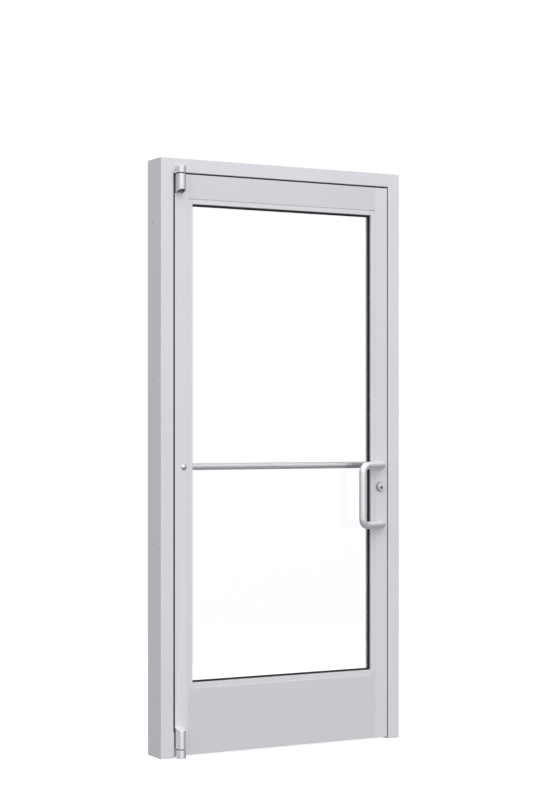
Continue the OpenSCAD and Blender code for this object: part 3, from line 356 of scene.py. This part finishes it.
def glassFinish():
    material = bpy.data.materials.new("clearGlass")
    material.use_nodes = True
    add, link = material.node_tree.nodes.new, material.node_tree.links.new
    shader = material.node_tree.nodes["Principled BSDF"]
    shader.inputs["Base Color"].default_value = (*glazing["tint"], 1)
    shader.inputs["Transmission Weight"].default_value = 1.0
    shader.inputs["IOR"].default_value = glazing["ior"]
    coords = add("ShaderNodeTexCoord")
    smears = add("ShaderNodeTexNoise")
    smears.inputs["Scale"].default_value = glazing["smears"]
    smears.inputs["Detail"].default_value = glazing["detail"]
    smears.inputs["Distortion"].default_value = glazing["swirl"]
    haze = add("ShaderNodeMapRange")
    haze.inputs["From Min"].default_value, haze.inputs["From Max"].default_value = glazing["starts"]
    haze.inputs["To Min"].default_value, haze.inputs["To Max"].default_value = glazing["haze"]
    link(coords.outputs["Object"], smears.inputs["Vector"])
    link(smears.outputs["Fac"], haze.inputs["Value"])
    link(haze.outputs["Result"], shader.inputs["Roughness"])
    return material


finishes["clearGlass"] = glassFinish()
print("finishes made:", len(finishes))


# Mesh helpers

mend = {
    "touch": 1e-6, "level": 1e-5,  # metres within which corners are merged, or count as level
    "flat": 0.3,  # degrees between faces that are joined into one
}


def vertsIn(geom):
    return [g for g in geom if isinstance(g, bmesh.types.BMVert)]


def borderIn(geom):
    return [g for g in geom if isinstance(g, bmesh.types.BMEdge) and len(g.link_faces) == 1]


def endPiece(bm, name, body, finish, stands=(), smoothTo=32, weighted=True):
    mesh = bpy.data.meshes.new(name)
    bm.to_mesh(mesh)
    bm.free()
    mesh.polygons.foreach_set("use_smooth", [True] * len(mesh.polygons))
    mesh.set_sharp_from_angle(angle=math.radians(smoothTo))
    mesh.materials.append(finishes[finish])
    piece = bpy.data.objects.new(name, mesh)
    bpy.context.scene.collection.objects.link(piece)
    if weighted:
        even = piece.modifiers.new("evenFaces", "WEIGHTED_NORMAL")  # keeps flats flat beside rounded edges
        even.keep_sharp = True
    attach(piece, body)
    if stands:
        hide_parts(*stands)
    return piece


def mergedCopy(node):
    bm = bmesh.new()
    bm.from_mesh(nodes[node].data)
    bmesh.ops.remove_doubles(bm, verts=bm.verts, dist=mend["touch"])
    bmesh.ops.dissolve_limit(bm, angle_limit=math.radians(mend["flat"]), verts=bm.verts, edges=bm.edges)
    return bm


def roundOff(bm, edges, width, segments):
    bmesh.ops.bevel(bm, geom=edges, offset=width, offset_type="OFFSET", affect="EDGES", segments=segments,
                    profile=0.5, material=-1, clamp_overlap=False)


def eased(node, finish, edge, segments=2, shortest=0.004, turn=28, crest=0, crestSegments=5):
    # a copy of the solid with its long corners eased, and its upper front edge more so if a crest is given
    bm = mergedCopy(node)
    if crest:
        front = min(v.co.y for v in bm.verts) + mend["level"]
        top = max(v.co.z for v in bm.verts if v.co.y < front) - mend["level"]
        upper = [e for e in bm.edges if all(v.co.y < front and v.co.z > top for v in e.verts)]
        roundOff(bm, upper, crest, crestSegments)
    if edge:
        sharp = [e for e in bm.edges if len(e.link_faces) == 2 and e.calc_length() > shortest
                 and e.calc_face_angle(0) > math.radians(turn)]
        roundOff(bm, sharp, edge, segments)
    return endPiece(bm, node + "Eased", bodyOf[node], finish, [node])


# Extrusions with eased corners

easedParts = {
    "anodisedUpright": {
        "hinge_jamb": 0.0009, "strike_jamb": 0.0009, "hinge_stile": 0.0007, "lock_stile": 0.0007,
        "hinge_door_stop": 0.0006, "strike_door_stop": 0.0006,
        "front_stop_hinge": 0.0004, "front_stop_lock": 0.0004,
        "rear_stop_hinge": 0.0004, "rear_stop_lock": 0.0004,
    },
    "anodisedLevel": {
        "frame_head": 0.0007, "head_door_stop": 0.0006,
        "front_stop_top": 0.0004, "front_stop_bottom": 0.0004,
        "rear_stop_top": 0.0004, "rear_stop_bottom": 0.0004,
    },
    "anodisedRailShaded": {"top_rail": 0.0007, "bottom_rail": 0.0007},
}
crests = {"bottom_rail": 0.0018}  # its upper edge catches the light
for finish, edges in easedParts.items():
    for node, edge in edges.items():
        eased(node, finish, edge, crest=crests.get(node, 0))
print("extrusions eased")


# Pivots, lock and small parts

hardware = {
    "satinCasting": {"top_pivot_plate": 0.0007, "top_pivot_arm": 0.0007},
    "castingPaintedLight": {"bottom_pivot_foot": 0.0007, "bottom_pivot_arm": 0.0007},
    "turnedCylinder": {"outer_cylinder": 0.0004, "inner_cylinder": 0.0004, "thumb_turn": 0.0012},
    "collarSteelShaded": {"outer_collar": 0.0006, "inner_collar": 0.0006},
    "platedSteel": {"strike_plate": 0.0004, "lock_faceplate": 0.0004, "swing_bolt": 0.0012},
    "darkAcetal": {"thrust_washer": 0.0002, "pivot_bushings": 0.0002},
}
for finish, edges in hardware.items():
    for node, edge in edges.items():
        eased(node, finish, edge, shortest=0.0003)
eased("key_plug", "darkPlugMetal", 0.0003, shortest=0.0003)

# The top knuckle's underside gets a dark finish: the inside of its hollow as cast and darkened further as
# painted shade, and its downward rim as painted shade

hollow = {
    "radius": 0.01305, "wall": 0.0029, "web": 0.0045,
    "level": 0.995, "upright": 0.1,  # slopes that count as level and as upright; eased edges lie between
}
pinLow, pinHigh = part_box("top_pivot_pin")
axis = (pinLow + pinHigh) / 2
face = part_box("hinge_stile")[0].y  # the leaf's front plane
knuckle = bpy.data.objects["top_pivot_armEased"].data
knuckle.materials.append(finishes["rawCastingAndShade"])
for polygon in knuckle.polygons:
    middle, slope = polygon.center, polygon.normal.z
    across, along = middle.x - axis.x, middle.y - axis.y
    inside = abs(across) < hollow["radius"] and middle.y < face - hollow["wall"]
    inside = inside and (along > 0 or math.hypot(across, along) < hollow["radius"])
    inside = inside and not hollow["upright"] < abs(slope) < hollow["level"]
    rim = slope < -hollow["level"] and middle.y < face
    if middle.z < pinLow.z - hollow["web"] and (inside or rim):
        polygon.material_index = 1
print("hollow faces:", sum(polygon.material_index for polygon in knuckle.polygons))

for node in ("front_gasket", "rear_gasket"):
    eased(node, "blackRubber", 0.0010, segments=3)
for node in ("hinge_seal", "strike_seal", "head_seal"):
    eased(node, "blackRubber", 0)
eased("glass_pane", "clearGlass", 0.0006, segments=1)
print("hardware eased")


# Rods swept with runs and turns

def sweepRod(start, heading, radius, moves, sides=32):
    bm = bmesh.new()
    heading = Vector(heading).normalized()
    place = Vector(start)
    aim = heading.to_track_quat("Z", "Y").to_matrix().to_4x4()
    bmesh.ops.create_circle(bm, cap_ends=True, segments=sides, radius=radius,
                            matrix=Matrix.Translation(place) @ aim)
    edges = list(bm.edges)
    for move in moves:
        if move[0] == "run":
            made = bmesh.ops.extrude_edge_only(bm, edges=edges)["geom"]
            step = heading * move[1]
            bmesh.ops.translate(bm, verts=vertsIn(made), vec=step)
            place = place + step
        else:
            angle, bend, pivot, steps = move[1:]
            pivot = Vector(pivot)
            centre = place + pivot.cross(heading) * math.copysign(bend, angle)
            made = bmesh.ops.spin(bm, geom=edges, cent=centre, axis=pivot, angle=angle, steps=steps,
                                  use_merge=False, use_duplicate=False)["geom_last"]
            spun = Matrix.Rotation(angle, 3, pivot)
            place = centre + spun @ (place - centre)
            heading = spun @ heading
        edges = borderIn(made)
    bmesh.ops.holes_fill(bm, edges=edges, sides=0)
    bmesh.ops.remove_doubles(bm, verts=bm.verts, dist=mend["touch"])
    bmesh.ops.recalc_face_normals(bm, faces=bm.faces)
    return bm, place


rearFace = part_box("hinge_stile")[1].y
upright = (0, 0, 1)
pull = {
    "rod": 0.0143, "rootX": 0.429, "upperLeg": 1.056, "legs": 0.228, "reach": 0.052, "offset": 0.115,
    "rootBend": 0.018, "gripBend": 0.027, "rootSteps": 12, "gripSteps": 16,
    "lean": 20, "tries": 12,  # first guess at the legs' lean in degrees, and how often it is bettered
}


def pullPiece():
    lean = math.radians(pull["lean"])
    for attempt in range(pull["tries"]):  # until the leg meets both the root bend and the grip's axis
        lean = math.atan((pull["reach"] - pull["rootBend"] * math.cos(lean))
                         / (pull["offset"] - pull["rootBend"] * (1 - math.sin(lean))))
    run = (pull["offset"] - pull["rootBend"] * (1 - math.sin(lean))) / math.cos(lean)
    straight = run - pull["gripBend"]
    out = Vector((-math.cos(lean), -math.sin(lean), 0))  # along the leg, away from its root
    across = out.cross(-Vector(upright))
    moves = [
        ("turn", -(math.pi / 2 - lean), pull["rootBend"], upright, pull["rootSteps"]),
        ("run", straight),
        ("turn", math.pi / 2, pull["gripBend"], across, pull["gripSteps"]),
        ("run", pull["legs"] - 2 * pull["gripBend"]),
        ("turn", math.pi / 2, pull["gripBend"], across, pull["gripSteps"]),
        ("run", straight),
        ("turn", math.pi / 2 - lean, pull["rootBend"], upright, pull["rootSteps"]),
    ]
    bm, end = sweepRod((pull["rootX"], face, pull["upperLeg"]), (0, -1, 0), pull["rod"], moves)
    print("pull ends at", [round(c, 4) for c in end])
    return endPiece(bm, "pullHandle", "leaf", "pullRod", ["pull_handle"], weighted=False)


bar = {
    "rod": 0.0127, "leftX": -0.417, "rightX": 0.429, "height": 1.056, "reach": 0.050,
    "bend": 0.045, "bendSteps": 18,
}


def barPiece():
    stub = bar["reach"] - bar["bend"]
    moves = [
        ("run", stub),
        ("turn", -math.pi / 2, bar["bend"], upright, bar["bendSteps"]),
        ("run", bar["rightX"] - bar["leftX"] - 2 * bar["bend"]),
        ("turn", -math.pi / 2, bar["bend"], upright, bar["bendSteps"]),
        ("run", stub),
    ]
    bm, end = sweepRod((bar["leftX"], rearFace, bar["height"]), (0, 1, 0), bar["rod"], moves)
    print("bar ends at", [round(c, 4) for c in end])
    return endPiece(bm, "pushBar", "leaf", "satinRod", ["push_bar"], weighted=False)


pullPiece()
barPiece()


# Domed caps on the through studs

cap = {"width": 0.022, "height": 0.006, "steps": 10, "sides": 40}


def capPiece():
    bm = bmesh.new()
    ball = (cap["width"] ** 2 / 4 + cap["height"] ** 2) / (2 * cap["height"])
    sweep = math.asin(cap["width"] / 2 / ball)
    for x, y, z, side in ((bar["leftX"], face, bar["height"], -1),
                          (pull["rootX"], rearFace, pull["upperLeg"] - pull["legs"], 1)):
        centre = Vector((x, y - side * (ball - cap["height"]), z))
        pole = bm.verts.new(centre + Vector((0, side * ball, 0)))
        bmesh.ops.spin(bm, geom=[pole], cent=centre, axis=(1, 0, 0), angle=sweep, steps=cap["steps"],
                       use_merge=False, use_duplicate=False)
        profile = {pole}
        while True:  # the chain from the pole to the rim
            more = {v for e in bm.edges for v in e.verts if profile & set(e.verts)} - profile
            if not more:
                break
            profile |= more
        chain = [e for e in bm.edges if e.verts[0] in profile and not e.link_faces]
        bmesh.ops.spin(bm, geom=chain, cent=centre, axis=(0, 1, 0), angle=2 * math.pi, steps=cap["sides"],
                       use_merge=True, use_duplicate=False)
    bmesh.ops.remove_doubles(bm, verts=bm.verts, dist=mend["touch"])
    bmesh.ops.holes_fill(bm, edges=borderIn(bm.edges), sides=0)
    bmesh.ops.recalc_face_normals(bm, faces=bm.faces)
    return endPiece(bm, "studCaps", "leaf", "domedCapShaded", ["stud_caps"])


capPiece()
print("rods and caps made")


# Black bulb seals in the leaf's two upright edges, set near the front of the gaps so their black also paints
# the shade in the gaps

gapShadeSeal = {  # where each starts and ends behind the leaf's face, and how far it stands proud
    "hinge": (0.0008, 0.0100, 0.0024), "lock": (0.0002, 0.0034, 0.0036), "ends": 0.002, "sides": 24,
}


def gapShadeSeals():
    bm = bmesh.new()
    heelLow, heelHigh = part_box("hinge_stile")
    runs = (
        (heelLow.x, -1, gapShadeSeal["hinge"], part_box("bottom_pivot_arm")[1].z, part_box("top_pivot_arm")[0].z),
        (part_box("lock_stile")[1].x, 1, gapShadeSeal["lock"], heelLow.z, heelHigh.z),
    )
    for x, side, depth, foot, top in runs:
        half = (depth[1] - depth[0]) / 2
        put = Matrix.Translation((x, face + depth[0] + half, foot + gapShadeSeal["ends"]))
        ring = bmesh.ops.create_circle(bm, cap_ends=True, segments=gapShadeSeal["sides"], radius=1,
                                       matrix=put @ Matrix.Diagonal((depth[2], half, 1, 1)))["verts"]
        geom = list(dict.fromkeys(g for v in ring for g in (v, *v.link_edges, *v.link_faces)))
        cut = bmesh.ops.bisect_plane(bm, geom=geom, plane_co=(x, 0, 0), plane_no=(side, 0, 0),
                                     clear_inner=True)["geom"]
        flat = [g for g in cut if isinstance(g, bmesh.types.BMFace)]
        made = bmesh.ops.extrude_face_region(bm, geom=flat)["geom"]
        bmesh.ops.translate(bm, verts=vertsIn(made), vec=(0, 0, top - foot - 2 * gapShadeSeal["ends"]))
    bmesh.ops.recalc_face_normals(bm, faces=bm.faces)
    return endPiece(bm, "gapShadeSeals", "leaf", "blackRubber")


gapShadeSeals()
print("edge seals made")


# Countersunk screws with a cross recess

screw = {
    "head": 0.0084, "shank": 0.0044, "tip": 0.9, "sides": 32,
    "cross": 0.0046, "slot": 0.0012, "deep": 0.0015, "taper": 0.55, "touch": 1e-7,
}


def screwInto(bm, place, outward, length):
    put = Matrix.Translation(place) @ outward.to_track_quat("Z", "Y").to_matrix().to_4x4()
    rim = bmesh.ops.create_circle(bm, cap_ends=False, segments=screw["sides"], radius=screw["head"] / 2,
                                  matrix=put)["verts"]
    rimEdges = list(dict.fromkeys(e for v in rim for e in v.link_edges))
    a, b = screw["cross"] / 2, screw["slot"] / 2
    outline = [(a, -b), (a, b), (b, b), (b, a), (-b, a), (-b, b),
               (-a, b), (-a, -b), (-b, -b), (-b, -a), (b, -a), (b, -b)]
    corners = [bm.verts.new(put @ Vector((x, y, 0))) for x, y in outline]
    crossEdges = [bm.edges.new((corners[i], corners[i - 1])) for i in range(len(corners))]
    bmesh.ops.bridge_loops(bm, edges=rimEdges + crossEdges)
    well = bmesh.ops.extrude_edge_only(bm, edges=crossEdges)["geom"]
    wellVerts = vertsIn(well)
    bmesh.ops.scale(bm, verts=wellVerts, vec=(screw["taper"], screw["taper"], 1), space=put.inverted())
    bmesh.ops.translate(bm, verts=wellVerts, vec=outward * -screw["deep"])
    bmesh.ops.holes_fill(bm, edges=borderIn(well))
    cone = (screw["head"] - screw["shank"]) / 2
    edges = rimEdges
    for drop, size in ((cone, screw["shank"] / screw["head"]), (length - cone, screw["tip"])):
        made = bmesh.ops.extrude_edge_only(bm, edges=edges)["geom"]
        verts = vertsIn(made)
        bmesh.ops.scale(bm, verts=verts, vec=(size, size, 1), space=put.inverted())
        bmesh.ops.translate(bm, verts=verts, vec=outward * -drop)
        edges = borderIn(made)
    bmesh.ops.holes_fill(bm, edges=edges)


def looseParts(node):
    # the low and high corners of each solid in a node
    bm = mergedCopy(node)
    left, found = dict.fromkeys(bm.verts), []
    while left:
        grown = [left.popitem()[0]]
        part = []
        while grown:
            v = grown.pop()
            part.append(v.co.copy())
            for e in v.link_edges:
                other = e.other_vert(v)
                if other in left:
                    del left[other]
                    grown.append(other)
        found.append(tuple(Vector(end(c[i] for c in part) for i in range(3)) for end in (min, max)))
    bm.free()
    return found


screwNodes = {  # which way each node's heads face, in its lower half and its upper half
    "strike_screws": ((-1, 0, 0), (-1, 0, 0)),
    "faceplate_screws": ((1, 0, 0), (1, 0, 0)),
    "door_pivot_screws": ((-1, 0, 0), (-1, 0, 0)),
    "frame_pivot_screws": ((1, 0, 0), (0, 0, -1)),
}
halfway = (cadLow[2] + cadHigh[2]) / 2
for node, facing in screwNodes.items():
    bm = bmesh.new()
    for low, high in looseParts(node):
        out = Vector(facing[low.z > halfway])
        middle = (low + high) / 2
        half = Vector([abs(out[i]) * (high[i] - low[i]) / 2 for i in range(3)])
        top = middle + Vector([out[i] * half[i] for i in range(3)])
        screwInto(bm, top, out, 2 * half.length)
    bmesh.ops.remove_doubles(bm, verts=bm.verts, dist=screw["touch"])
    bmesh.ops.recalc_face_normals(bm, faces=bm.faces)
    endPiece(bm, node + "Cross", bodyOf[node], "platedSteel", [node])
print("screws made")


# Finishes on the solids that stay as they are

slotFinish = {
    "anodised_extrusion": "anodisedUpright", "mill_aluminium": "millAluminium",
    "satin_casting": "satinCasting", "satin_rod": "satinRod", "plated_steel": "platedSteel",
    "dark_acetal": "darkAcetal", "black_rubber": "blackRubber", "clear_glass": "clearGlass",
}
kept = [name for name, piece in nodes.items() if not piece.hide_render]
for name in kept:
    nodes[name].data.materials.clear()
    nodes[name].data.materials.append(finishes[slotFinish[slotOf[name]]])
print("kept as they are:", len(kept))


# Floor

ground = {
    "radius": 5.0, "sides": 96, "fade": (1.0, 4.6),  # solid as far as the first, gone by the second
    "colour": (0.30, 0.30, 0.302), "rough": 0.75, "specular": 0.1, "glow": 0.85,
}


def floorPiece():
    bm = bmesh.new()
    bmesh.ops.create_circle(bm, cap_ends=True, segments=ground["sides"], radius=ground["radius"])
    mesh = bpy.data.meshes.new("floor")
    bm.to_mesh(mesh)
    bm.free()
    floor = bpy.data.objects.new("floor", mesh)
    bpy.context.scene.collection.objects.link(floor)
    material = bpy.data.materials.new("paleFloor")
    material.use_nodes = True
    add, link = material.node_tree.nodes.new, material.node_tree.links.new
    shader = material.node_tree.nodes["Principled BSDF"]
    shader.inputs["Base Color"].default_value = (*ground["colour"], 1)
    shader.inputs["Roughness"].default_value = ground["rough"]
    shader.inputs["Specular IOR Level"].default_value = ground["specular"]
    shader.inputs["Emission Color"].default_value = (1, 1, 1, 1)
    shader.inputs["Emission Strength"].default_value = ground["glow"]
    coords = add("ShaderNodeTexCoord")
    reach = add("ShaderNodeVectorMath")
    reach.operation = "LENGTH"
    fade = add("ShaderNodeMapRange")
    fade.interpolation_type = "SMOOTHSTEP"
    fade.inputs["From Min"].default_value, fade.inputs["From Max"].default_value = ground["fade"]
    fade.inputs["To Min"].default_value, fade.inputs["To Max"].default_value = 1.0, 0.0
    link(coords.outputs["Object"], reach.inputs[0])
    link(reach.outputs["Value"], fade.inputs["Value"])
    path = add("ShaderNodeLightPath")
    bounced = add("ShaderNodeMath")
    first = add("ShaderNodeMath")  # not yet bounced: the floor is only seen, and doesn't light the metal
    first.operation = "LESS_THAN"
    first.inputs[1].default_value = 0.5
    shown = add("ShaderNodeMath")
    shown.operation = "MULTIPLY"
    link(path.outputs["Diffuse Depth"], bounced.inputs[0])
    link(path.outputs["Glossy Depth"], bounced.inputs[1])
    link(bounced.outputs[0], first.inputs[0])
    link(first.outputs[0], shown.inputs[0])
    link(fade.outputs["Result"], shown.inputs[1])
    link(shown.outputs[0], shader.inputs["Alpha"])
    mesh.materials.append(material)


floorPiece()
print("floor laid")
